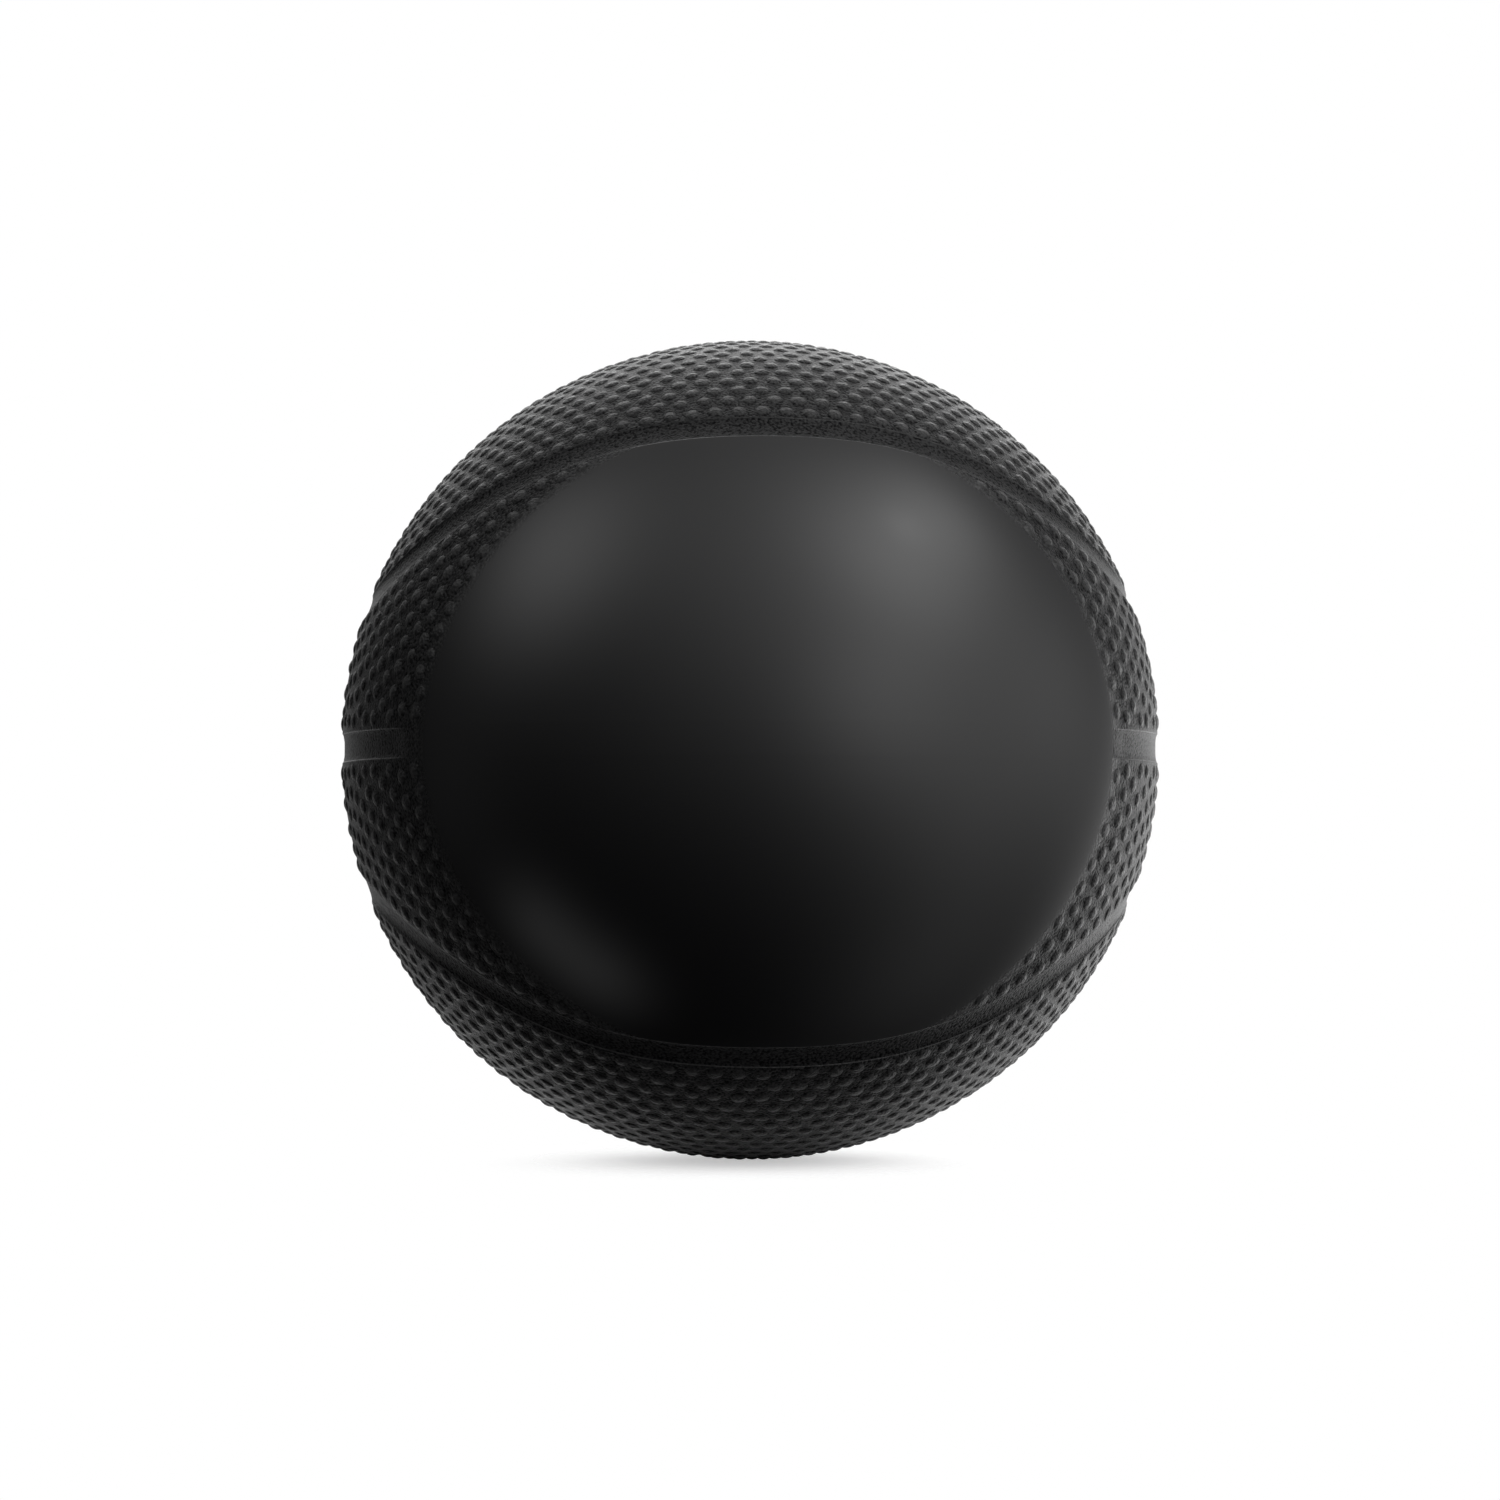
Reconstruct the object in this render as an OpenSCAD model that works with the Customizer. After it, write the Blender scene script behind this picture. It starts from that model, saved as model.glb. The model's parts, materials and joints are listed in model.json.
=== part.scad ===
// Mini basketball of moulded rubber: an air bladder with its valve, a thread winding, a rubber carcass,
// and a cover of seven panels parted by sunk channel strips.
// The origin is the centre of the ball, +Z is up and the smooth imprint zone faces -Y. Lengths are in mm.

/* [Ball] */
// Diameter over the crests of the pebbles
ball_d = 127; // [110:1:180]
// Height of the pebbles, and so the depth of the smooth imprint zone below their crests
pebble_h = 0.3; // [0.15:0.05:0.6]
// Angle from the middle of the imprint zone to its rim, in degrees
imprint_angle = 55; // [53:0.5:63]

/* [Layers] */
// Thickness of a cover panel, pebbles included
cover_t = 2.1; // [1.8:0.1:3]
// Thickness of the rubber carcass
carcass_t = 1.0; // [0.7:0.1:2]
// Thickness of the thread winding
winding_t = 0.6; // [0.4:0.1:1.2]
// Thickness of the bladder's wall
bladder_t = 0.9; // [0.6:0.1:1.5]
// Film of cement between two neighbouring pieces
bond_gap = 0.12; // [0.08:0.01:0.2]

/* [Channels] */
// Width of a channel between its two panels
channel_w = 4.2; // [3:0.1:6]
// Depth of a channel's floor below the crests of the pebbles
channel_depth = 0.7; // [0.5:0.05:1.2]
// Latitude of a loop channel at the middle of the front, in degrees
loop_front_lat = 46.6; // [44:0.1:49]
// Latitude of a loop channel where it crosses the upright ring, in degrees
loop_side_lat = 19.8; // [17:0.1:23]
// Swell of a loop channel halfway between front and side, over an even wave, in degrees
loop_swell = 4.8; // [3:0.1:6]

/* [Valve] */
// Diameter of the smooth pad around the valve
pad_d = 11; // [10:0.5:16]
// Diameter of the valve's housing
valve_d = 7.4; // [6.8:0.1:8.4]
// Length of the valve's housing
valve_len = 20; // [16:0.5:28]
// Diameter of the housing's flange inside the bladder
flange_d = 15; // [12:0.5:20]
// Thickness of the flange
flange_t = 1.2; // [0.8:0.1:2]
// Diameter of the patch that seals the housing to the bladder
patch_d = 22; // [18:0.5:30]
// Diameter of the valve's core
core_d = 4.6; // [4:0.1:5]
// Length of the valve's core
core_len = 18; // [15:0.5:26]
// Depth of the core's outer end below the housing's face
core_sink = 0.4; // [0.2:0.1:1]
// Running clearance between core and housing, all round
core_clear = 0.03; // [0.02:0.01:0.06]
// Diameter of the needle's bore in the core
needle_d = 2.1; // [1.8:0.1:2.5]
// Depth of the needle's bore
needle_depth = 12; // [8:0.5:13]

/* [Hidden] */
$fn = 96;

// Radii of the layers, from the crests of the pebbles inwards
crest_r = ball_d / 2;
ground_r = crest_r - pebble_h;
floor_r = crest_r - channel_depth;
cover_in = crest_r - cover_t;
carcass_out = cover_in - bond_gap;
carcass_in = carcass_out - carcass_t;
winding_out = carcass_in - bond_gap;
winding_in = winding_out - winding_t;
bladder_out = winding_in - bond_gap;
bladder_in = bladder_out - bladder_t;
flange_out = bladder_in - bond_gap;
flange_in = flange_out - flange_t;

// Half width of a channel and of the strip in it
channel_half = channel_w / 2;
strip_half = channel_half - bond_gap;

// Both ends of the valve's core, and the inner end of its housing
core_top = floor_r - core_sink;
core_bottom = core_top - core_len;
housing_bottom = floor_r - valve_len;

// Reach of the cutting solids, well past the ball
cut_r = 1.2 * crest_r;
far_r = 3 * crest_r;
// Sides of the cone that follows a loop channel
loop_sides = 96;

// Angle at the ball's centre under a length along its surface
function as_angle(length) = length / crest_r * 180 / PI;

// Direction of a point on the ball, with the azimuth counted from the front towards the right
function on_ball(azimuth, latitude) =
    [sin(azimuth) * cos(latitude), -cos(azimuth) * cos(latitude), sin(latitude)];

// Middle line of the upper loop channel: high across the front and back, low round the sides
function loop_lat(azimuth) =
    (loop_front_lat + loop_side_lat) / 2
    + (loop_front_lat - loop_side_lat) / 2 * cos(2 * azimuth)
    + loop_swell / 2 * (1 - cos(4 * azimuth));
function loop_point(azimuth) = on_ball(azimuth, loop_lat(azimuth));

// Point beside the middle line, at an angle from it that is positive away from the crown
function beside_loop(azimuth, turn) =
    let (step = 0.01,
         along = loop_point(azimuth + step) - loop_point(azimuth - step),
         across = cross(along, loop_point(azimuth)))
    loop_point(azimuth) * cos(turn) + across / norm(across) * sin(turn);

// Cone from the ball's centre through the upper loop, moved out by a length along the surface
module loop_cone(offset_length) {
    step = 360 / loop_sides;
    rim = [for (i = [0 : loop_sides - 1]) far_r * beside_loop((i + 0.5) * step, as_angle(offset_length))];
    polyhedron(points = concat(rim, [[0, 0, 0], [0, 0, far_r + crest_r]]),
               faces = [for (i = [0 : loop_sides - 1])
                        let (next = (i + 1) % loop_sides)
                        each [[loop_sides, i, next], [loop_sides + 1, next, i]]]);
}

// Layer of the ball between two radii
module layer(r_in, r_out) {
    difference() {
        sphere(r_out);
        sphere(r_in);
    }
}

// Layer between two radii and two angles from the valve's axis, turned about that axis
module turned_layer(r_in, r_out, from, to) {
    rotate([-90, 0, 0])
        rotate_extrude()
            intersection() {
                difference() {
                    circle(r_out);
                    circle(r_in);
                }
                polygon([[0, 0], for (i = [0 : 6]) let (a = from + (to - from) * i / 6) far_r * [sin(a), cos(a)]]);
            }
}

// Everything ahead of a wall beside the upright ring's middle plane
module ahead(wall) {
    translate([-cut_r, -2 * cut_r - wall, -cut_r])
        cube(2 * cut_r);
}

// Everything above a wall beside the horizontal channel's middle plane
module above(wall) {
    translate([-cut_r, -cut_r, wall])
        cube(2 * cut_r);
}

// Slab along the horizontal channel
module equator_slab(half_width) {
    translate([-cut_r, -cut_r, -half_width])
        cube([2 * cut_r, 2 * cut_r, 2 * half_width]);
}

// Cone from the ball's centre round the imprint zone, widened by a length along the surface
module imprint_cone(widening) {
    rotate([90, 0, 0])
        cylinder(h = cut_r, r1 = 0, r2 = cut_r * tan(imprint_angle + as_angle(widening)));
}

// Bar along the valve's axis, at the back
module valve_bar(diameter, from, to) {
    rotate([-90, 0, 0])
        translate([0, 0, from])
            cylinder(d = diameter, h = to - from);
}

// Hole for the valve's housing through a layer
module housing_hole() {
    valve_bar(valve_d + 2 * bond_gap, 0, cut_r);
}

// Front half of the panel inside the upper loop
module crown_half() {
    color("#161616")
        intersection() {
            layer(cover_in, crest_r);
            ahead(channel_half);
            loop_cone(-channel_half);
        }
}

// Front half of the cover between the two loops
module belt_half() {
    difference() {
        intersection() {
            layer(cover_in, crest_r);
            ahead(channel_half);
        }
        for (lower = [0, 1])
            mirror([0, 0, lower])
                loop_cone(channel_half);
    }
}

// Front half of the strip in the upper loop's channel
module loop_half() {
    color("#0c0c0c")
        difference() {
            intersection() {
                layer(cover_in, floor_r);
                ahead(channel_half);
                loop_cone(strip_half);
            }
            loop_cone(-strip_half);
        }
}

module bladder() {
    color("dimgray")
        difference() {
            layer(bladder_in, bladder_out);
            housing_hole();
        }
}

module valve_patch() {
    color("darkslategray")
        difference() {
            turned_layer(winding_in, winding_out, 0, asin(patch_d / 2 / winding_out));
            housing_hole();
        }
}

module valve_body() {
    color("#202020")
        difference() {
            union() {
                intersection() {
                    valve_bar(valve_d, housing_bottom, cut_r);
                    sphere(floor_r);
                }
                intersection() {
                    valve_bar(flange_d, 0, cut_r);
                    layer(flange_in, flange_out);
                }
            }
            valve_bar(core_d + 2 * core_clear, 0, cut_r);
        }
}

module valve_core() {
    color("#303030")
        difference() {
            valve_bar(core_d, core_bottom, core_top);
            valve_bar(needle_d, core_top - needle_depth, cut_r);
        }
}

module winding() {
    color("gainsboro")
        turned_layer(winding_in, winding_out, asin((patch_d / 2 + bond_gap) / winding_out), 180);
}

module carcass() {
    color("#2b2b2b")
        difference() {
            layer(carcass_in, carcass_out);
            housing_hole();
        }
}

module front_panel() {
    color("#161616")
        difference() {
            belt_half();
            difference() {
                imprint_cone(0);
                sphere(ground_r);
            }
            difference() {
                equator_slab(channel_half);
                imprint_cone(0);
            }
        }
}

module back_upper_panel() {
    color("#161616")
        difference() {
            mirror([0, 1, 0])
                intersection() {
                    belt_half();
                    above(channel_half);
                }
            valve_bar(pad_d + 2 * bond_gap, 0, cut_r);
        }
}

module back_lower_panel() {
    mirror([0, 0, 1])
        back_upper_panel();
}

module crown_front_panel() {
    crown_half();
}

module crown_back_panel() {
    mirror([0, 1, 0])
        crown_half();
}

module base_front_panel() {
    mirror([0, 0, 1])
        crown_half();
}

module base_back_panel() {
    mirror([0, 0, 1])
        crown_back_panel();
}

module meridian_channel() {
    color("#0c0c0c")
        rotate([90, 0, 0])
            intersection() {
                layer(cover_in, floor_r);
                equator_slab(strip_half);
            }
}

module equator_channel_back() {
    color("#0c0c0c")
        difference() {
            intersection() {
                layer(cover_in, floor_r);
                mirror([0, 1, 0])
                    ahead(channel_half);
                union() {
                    equator_slab(strip_half);
                    valve_bar(pad_d, 0, cut_r);
                }
            }
            housing_hole();
        }
}

module equator_channel_left() {
    mirror([1, 0, 0])
        equator_channel_right();
}

module equator_channel_right() {
    color("#0c0c0c")
        difference() {
            intersection() {
                layer(cover_in, floor_r);
                ahead(channel_half);
                equator_slab(strip_half);
                translate([0, -cut_r, -cut_r])
                    cube(2 * cut_r);
            }
            imprint_cone(bond_gap);
        }
}

module upper_loop_front() {
    loop_half();
}

module upper_loop_back() {
    mirror([0, 1, 0])
        loop_half();
}

module lower_loop_front() {
    mirror([0, 0, 1])
        loop_half();
}

module lower_loop_back() {
    mirror([0, 0, 1])
        upper_loop_back();
}

bladder();
valve_patch();
valve_body();
valve_core();
winding();
carcass();
front_panel();
back_upper_panel();
back_lower_panel();
crown_front_panel();
crown_back_panel();
base_front_panel();
base_back_panel();
meridian_channel();
equator_channel_back();
equator_channel_left();
equator_channel_right();
upper_loop_front();
upper_loop_back();
lower_loop_front();
lower_loop_back();
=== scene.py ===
"""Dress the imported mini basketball: moulded cover panels, channel strips, valve and inner layers.

Lengths are in metres and angles in radians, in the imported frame: the origin is the centre of the ball,
+Z is up and the smooth imprint zone faces -Y.
"""

import json
import logging
import math
from collections.abc import Callable, Sequence
from dataclasses import dataclass, field
from enum import Enum
from itertools import starmap
from typing import Protocol

import bpy
import numpy as np
from mathutils import Matrix, Vector
from mathutils.kdtree import KDTree


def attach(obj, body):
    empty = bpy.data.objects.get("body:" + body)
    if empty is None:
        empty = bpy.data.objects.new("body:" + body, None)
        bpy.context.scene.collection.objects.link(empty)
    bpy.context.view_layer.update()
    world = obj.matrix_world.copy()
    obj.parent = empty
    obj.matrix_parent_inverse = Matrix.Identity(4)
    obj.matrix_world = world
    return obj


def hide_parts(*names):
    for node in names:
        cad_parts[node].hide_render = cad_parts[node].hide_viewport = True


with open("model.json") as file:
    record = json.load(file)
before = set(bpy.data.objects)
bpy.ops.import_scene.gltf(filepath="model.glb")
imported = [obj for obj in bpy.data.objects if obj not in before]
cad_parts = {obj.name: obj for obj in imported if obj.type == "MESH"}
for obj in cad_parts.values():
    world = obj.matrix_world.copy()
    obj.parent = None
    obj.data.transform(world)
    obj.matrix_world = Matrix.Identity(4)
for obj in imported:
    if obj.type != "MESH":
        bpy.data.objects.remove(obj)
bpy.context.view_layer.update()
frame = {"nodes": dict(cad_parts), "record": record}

LOG = logging.getLogger("mini_basketball")
MM = 0.001
MERGE_GAP = 1e-6
TINY = 1e-9
SHOULDER_BANDS = (0.0, 0.2, 0.4, 0.6, 0.8, 1.0, 1.3)
NOISE_MEAN = 0.5
WHITE = (1, 1, 1, 1)
Array = np.ndarray
Piece = bpy.types.Object
Tree = bpy.types.NodeTree
Socket = bpy.types.NodeSocket
Value = Socket | float
Outline = list[tuple[float, float]]


class Mirror(Enum):
    """Side of the ball that a copy of a front upper piece goes to."""

    NONE = (1, 1, 1)
    BACK = (1, -1, 1)
    BASE = (1, 1, -1)
    BASE_BACK = (1, -1, -1)
    LEFT = (-1, 1, 1)


class Body(Enum):
    """Moving bodies of the frame."""

    BALL = "ball"
    CORE = "core"


@dataclass(frozen=True)
class BallSizes:
    """Driving sizes of the ball's cover.

    Radii end in r. The lap is the width of the rounded shoulder beside a channel, hollow is the exponent of
    a strip's section, and the short channels end at the imprint angle after a soft run-out.
    """

    crest_r: float
    pebble_h: float = 0.3 * MM
    facet_room: float = 0.02 * MM
    channel_depth: float = 0.7 * MM
    channel_half: float = 2.1 * MM
    cover_t: float = 2.1 * MM
    bond_gap: float = 0.01 * MM
    pad_r: float = 5.62 * MM
    lap: float = 0.3 * MM
    shoulder_r: float = 0.37 * MM
    strip_drop: float = 0.16 * MM
    hollow: float = 3.4
    run_out: float = 5 * MM
    imprint_angle: float = math.radians(55)

    @classmethod
    def from_frame(cls, record: dict) -> "BallSizes":
        """Return the sizes, with the ball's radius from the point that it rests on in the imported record."""
        rest = next(m for m in record["mounts"] if m["name"] == "rest")
        return cls(crest_r=-rest["pos_m"][2])

    @property
    def ground_r(self) -> float:
        """Radius of the ground between the pebbles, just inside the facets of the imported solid."""
        return self.crest_r - self.pebble_h - self.facet_room

    @property
    def floor_r(self) -> float:
        """Radius of the channels' floors."""
        return self.crest_r - self.channel_depth

    @property
    def inner_r(self) -> float:
        """Radius of the cover's inner face."""
        return self.crest_r - self.cover_t

    @property
    def strip_half(self) -> float:
        """Half width of the strip in a channel."""
        return self.channel_half - self.bond_gap

    def drop(self, clear: Array) -> Array:
        """Give the section of a channel: a crisp shoulder on the panel and a hollow floor on the strip.

        Args:
            clear: Distances from the edge between panel and strip, positive on the panel.

        Returns:
            Depths below the ground.
        """
        depth = self.ground_r - self.floor_r
        inward = np.clip(self.lap - clear, 0, self.lap)
        shoulder = self.shoulder_r - np.sqrt(self.shoulder_r ** 2 - inward ** 2)
        rise = np.clip(1 + clear / self.channel_half, 0, 1)
        return np.where(clear < 0, depth - (depth - self.strip_drop) * rise ** self.hollow, shoulder)


def unit(vectors: Array) -> Array:
    """Return the vectors at length one."""
    return vectors / np.linalg.norm(vectors, axis=-1, keepdims=True)


def smoothstep(share: Array) -> Array:
    """Return shares eased in and out between nought and one."""
    return share * share * (3 - 2 * share)


def both_sides(right: Array) -> Array:
    """Return places from left to right, from those that start at nought and go to the right."""
    return np.concatenate([-right[:0:-1], right])


def on_ball(azimuth: Array, latitude: Array) -> Array:
    """Return unit vectors, from angles from the front to the right and angles above the middle plane."""
    across = np.cos(latitude)
    return np.stack([np.sin(azimuth) * across, -np.cos(azimuth) * across, np.sin(latitude)], axis=-1)


def azimuth_of(directions: Array) -> Array:
    """Return the azimuths of unit vectors."""
    return np.arctan2(directions[..., 0], -directions[..., 1])


def latitude_of(directions: Array) -> Array:
    """Return the latitudes of unit vectors."""
    return np.arcsin(directions[..., 2])


@dataclass
class LoopLine:
    """Middle line of the upper loop channel: high across front and back, low round the sides."""

    front_lat: float = math.radians(46.6)
    side_lat: float = math.radians(19.8)
    swell: float = math.radians(4.8)
    samples: int = 2880
    end_span: tuple[float, float] = (math.radians(70), math.radians(100))
    end_samples: int = 601
    tree: KDTree = field(init=False)

    def __post_init__(self) -> None:
        """Sort samples of the line for distance queries."""
        line = self.point(np.arange(self.samples) * 2 * math.pi / self.samples)
        self.tree = KDTree(self.samples)
        for index, place in enumerate(line):
            self.tree.insert(place, index)
        self.tree.balance()

    def latitude(self, azimuth: Array) -> Array:
        """Return the line's latitude at an azimuth."""
        mean = (self.front_lat + self.side_lat) / 2
        wave = (self.front_lat - self.side_lat) / 2
        return mean + wave * np.cos(2 * azimuth) + self.swell / 2 * (1 - np.cos(4 * azimuth))

    def point(self, azimuth: Array) -> Array:
        """Return unit vectors on the line."""
        return on_ball(azimuth, self.latitude(azimuth))

    def beside(self, azimuth: Array, turn: Array) -> Array:
        """Step sideways from the line.

        Args:
            azimuth: Azimuth of the foot on the line.
            turn: Angle from the line, positive away from the crown.

        Returns:
            Unit vectors.
        """
        step = 1e-4
        foot = self.point(azimuth)
        across = unit(np.cross(self.point(azimuth + step) - self.point(azimuth - step), foot))
        turn = np.asarray(turn)[..., None]
        return foot * np.cos(turn) + across * np.sin(turn)

    def nearest(self, directions: Array) -> tuple[Array, Array]:
        """Find the line from points of the ball.

        Args:
            directions: Unit vectors.

        Returns:
            Angles to the line, and the nearest points on it.
        """
        found = [self.tree.find(place) for place in directions]
        chord = np.array([hit[2] for hit in found])
        return 2 * np.arcsin(chord / 2), np.array([hit[0] for hit in found])

    def end_azimuth(self, turn: Array, wall: float) -> Array:
        """Find where lines beside the loop reach the wall of the upright ring on the right.

        Args:
            turn: Angles of the lines from the loop.
            wall: Distance of the wall from the ring's middle plane, over the radius.

        Returns:
            One azimuth for each line.
        """
        azimuth = np.linspace(*self.end_span, self.end_samples)
        lines = [self.beside(azimuth, np.full(azimuth.size, angle)) for angle in turn]
        return np.array([np.interp(wall, line[:, 1], azimuth) for line in lines])


@dataclass
class ChannelPlan:
    """Where the channels run: the upright ring, the two loops, the short pair and the one with the valve."""

    sizes: BallSizes
    line: LoopLine

    def drop(self, directions: Array) -> Array:
        """Return depths below the ground: in the channels, and over the soft run-out of the short pair.

        Args:
            directions: Unit vectors.

        Returns:
            One depth for each vector.
        """
        radius, half = self.sizes.crest_r, self.sizes.channel_half
        ring = np.abs(np.arcsin(np.clip(directions[:, 1], -1, 1))) * radius - half
        upper = self.line.nearest(directions)[0] * radius - half
        lower = self.line.nearest(directions * Mirror.BASE.value)[0] * radius - half
        beside = np.abs(latitude_of(directions)) * radius - half
        pad = np.arccos(np.clip(directions[:, 1], -1, 1)) * radius - self.sizes.pad_r
        level = np.where(directions[:, 1] < 0, radius, np.minimum(beside, pad))
        whole = self.sizes.drop(np.min([ring, upper, lower, level], axis=0))
        along = (np.abs(azimuth_of(directions)) - self.sizes.imprint_angle) * radius
        share = np.where(directions[:, 1] < 0, np.clip(along / self.sizes.run_out, 0, 1), 0)
        return np.maximum(whole, self.sizes.drop(beside) * smoothstep(share))

    def laid(self, directions: Array, mirror: Mirror = Mirror.NONE) -> Array:
        """Lay directions on the ball, rounded off into the channels.

        Args:
            directions: Unit vectors by row and column.
            mirror: Side of the ball whose channels count.

        Returns:
            Points by row and column.
        """
        flat = directions.reshape(-1, 3)
        drop = self.drop(flat * mirror.value)
        return (flat * (self.sizes.ground_r - drop)[:, None]).reshape(directions.shape)


class Edge(Protocol):
    """One edge of a panel, which the pebbles keep a margin from."""

    margin: float

    def clearance(self, directions: Array) -> tuple[Array, Array]:
        """Return the distances from the edge, and the directions away from it."""


@dataclass
class PlaneEdge:
    """Edge along a great circle's channel, on one side of a coordinate plane."""

    sizes: BallSizes
    axis: int
    sign: float
    margin: float = 1.9 * MM

    def clearance(self, directions: Array) -> tuple[Array, Array]:
        """Return the distances from the edge, and the directions away from it."""
        away = np.zeros_like(directions)
        away[:, self.axis] = self.sign
        rise = np.arcsin(np.clip(self.sign * directions[:, self.axis], -1, 1))
        return rise * self.sizes.crest_r - self.sizes.channel_half, away


@dataclass
class LoopEdge:
    """Edge along a loop channel."""

    sizes: BallSizes
    line: LoopLine
    belt: bool
    margin: float = 1.6 * MM

    def clearance(self, directions: Array) -> tuple[Array, Array]:
        """Return the distances from the edge, and the directions away from it."""
        angle, foot = self.line.nearest(directions)
        below = latitude_of(directions) < self.line.latitude(azimuth_of(directions))
        side = np.where(below == self.belt, 1.0, -1.0)
        away = side[:, None] * (directions - foot)
        length = np.linalg.norm(away, axis=1, keepdims=True) + TINY
        return side * angle * self.sizes.crest_r - self.sizes.channel_half, away / length


@dataclass(frozen=True)
class ImprintZone:
    """Smooth oval at the front that carries no pebbles.

    Attributes:
        wide: Angle from its middle to its rim at the sides.
        tall: Angle from its middle to its rim above and below.
        turn: Azimuth of its middle.
        fullness: Exponent of its outline, where 2 is an ellipse and less is leaner between the axes.
    """

    wide: float = math.radians(55.4)
    tall: float = math.radians(49.5)
    turn: float = math.radians(1.6)
    fullness: float = 1.93

    @property
    def right(self) -> Array:
        """Sideways axis, at the length that makes the rim one."""
        return np.array([math.cos(self.turn), math.sin(self.turn), 0.0]) / math.sin(self.wide)

    @property
    def up(self) -> Array:
        """Upright axis, at the length that makes the rim one."""
        return np.array([0.0, 0.0, 1.0]) / math.sin(self.tall)

    def share(self, directions: Array) -> Array:
        """Return how far points lie from the middle, where the rim is one."""
        across, above = np.abs(directions @ self.right), np.abs(directions @ self.up)
        return (across ** self.fullness + above ** self.fullness) ** (1 / self.fullness)


@dataclass
class OvalEdge:
    """Oval edge at the front, which the pebbles lie outside."""

    sizes: BallSizes
    zone: ImprintZone
    margin: float = 1.9 * MM

    def clearance(self, directions: Array) -> tuple[Array, Array]:
        """Return the distances from the edge, and the directions away from it."""
        axis = unit(np.cross(self.zone.right, self.zone.up))
        turn = np.arccos(np.clip(directions @ axis, -1, 1))
        share = self.zone.share(directions)
        rim = np.arcsin(np.clip(np.sin(turn) / np.clip(share, TINY, None), 0, 1))
        return (turn - rim) * self.sizes.crest_r, np.broadcast_to(-axis, directions.shape)


def coords(piece: Piece) -> Array:
    """Return a mesh's vertices as an array."""
    flat = np.empty(len(piece.data.vertices) * 3)
    piece.data.vertices.foreach_get("co", flat)
    return flat.reshape(-1, 3)


def set_coords(piece: Piece, places: Array) -> None:
    """Move a mesh's vertices."""
    piece.data.vertices.foreach_set("co", places.astype(np.float32).ravel())
    piece.data.update()


def choose(piece: Piece) -> None:
    """Select one piece alone and make it active."""
    bpy.ops.object.select_all(action="DESELECT")
    piece.select_set(True)
    bpy.context.view_layer.objects.active = piece


def added(name: str, operator: Callable[..., object], **settings) -> Piece:
    """Add a shape with nothing else selected.

    Args:
        name: Name of the piece.
        operator: Operator that adds the shape.
        settings: Settings of the operator.

    Returns:
        The piece.
    """
    bpy.ops.object.select_all(action="DESELECT")
    operator(**settings)
    piece = bpy.context.object
    piece.name = piece.data.name = name
    return piece


def in_edit(piece: Piece, *steps: Callable[[], object]) -> None:
    """Run edit mode steps with everything on the piece selected.

    Args:
        piece: The piece to edit.
        steps: Calls to make in edit mode.
    """
    choose(piece)
    bpy.ops.object.mode_set(mode="EDIT")
    bpy.ops.mesh.select_all(action="SELECT")
    for step in steps:
        step()
    bpy.ops.object.mode_set(mode="OBJECT")


def merge() -> None:
    """Merge doubled points in edit mode."""
    bpy.ops.mesh.select_all(action="SELECT")
    bpy.ops.mesh.remove_doubles(threshold=MERGE_GAP)


def face_outwards() -> None:
    """Turn all faces outwards in edit mode."""
    bpy.ops.mesh.select_all(action="SELECT")
    bpy.ops.mesh.normals_make_consistent(inside=False)


def delete(piece: Piece, kind: str, doomed: Array) -> None:
    """Delete faces or edges of a piece.

    Args:
        piece: The piece to cut.
        kind: FACE or EDGE.
        doomed: One truth value for each face or edge.
    """
    in_edit(piece, lambda: bpy.ops.mesh.select_mode(type=kind),
            lambda: bpy.ops.mesh.select_all(action="DESELECT"))
    parts = piece.data.polygons if kind == "FACE" else piece.data.edges
    parts.foreach_set("select", doomed)
    bpy.ops.object.mode_set(mode="EDIT")
    bpy.ops.mesh.delete(type=kind)
    bpy.ops.object.mode_set(mode="OBJECT")


def laid_grid(name: str, places: Array) -> Piece:
    """Add a grid and lay its rows and columns on the ball.

    Args:
        name: Name of the piece.
        places: Points by row and column.

    Returns:
        An open sheet whose faces point outwards, with doubled points merged.
    """
    rows, columns = places.shape[0] - 1, places.shape[1] - 1
    sheet = added(name, bpy.ops.mesh.primitive_grid_add,
                  x_subdivisions=columns, y_subdivisions=rows, size=1.0)
    flat = coords(sheet)
    column = np.rint((flat[:, 0] + 0.5) * columns).astype(int)
    row = np.rint((flat[:, 1] + 0.5) * rows).astype(int)
    set_coords(sheet, places[row, column])
    in_edit(sheet, merge)
    face = sheet.data.polygons[len(sheet.data.polygons) // 2]
    if face.normal.dot(face.center) < 0:
        in_edit(sheet, bpy.ops.mesh.flip_normals)
    return sheet


def smooth(piece: Piece, angle: float = math.radians(50)) -> None:
    """Shade a piece smooth, apart from its sharp edges."""
    choose(piece)
    bpy.ops.object.shade_smooth_by_angle(angle=angle)


def thicken(sheet: Piece, inner_r: float) -> None:
    """Give an open sheet its wall, down to an inner radius, and shade it.

    Args:
        sheet: Sheet on the ball, with its faces outwards.
        inner_r: Radius of the inner face.
    """
    outer = coords(sheet)
    wall = sheet.modifiers.new("wall", "SOLIDIFY")
    wall.thickness = float(np.linalg.norm(outer, axis=1).mean()) - inner_r
    wall.offset = -1
    choose(sheet)
    bpy.ops.object.modifier_apply(modifier=wall.name)
    places = coords(sheet)
    places[len(outer):] = unit(outer) * inner_r
    set_coords(sheet, places)
    smooth(sheet)


def join(pieces: Sequence[Piece]) -> Piece:
    """Join pieces into the first one."""
    choose(pieces[0])
    for piece in pieces:
        piece.select_set(True)
    bpy.ops.object.join()
    return pieces[0]


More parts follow.
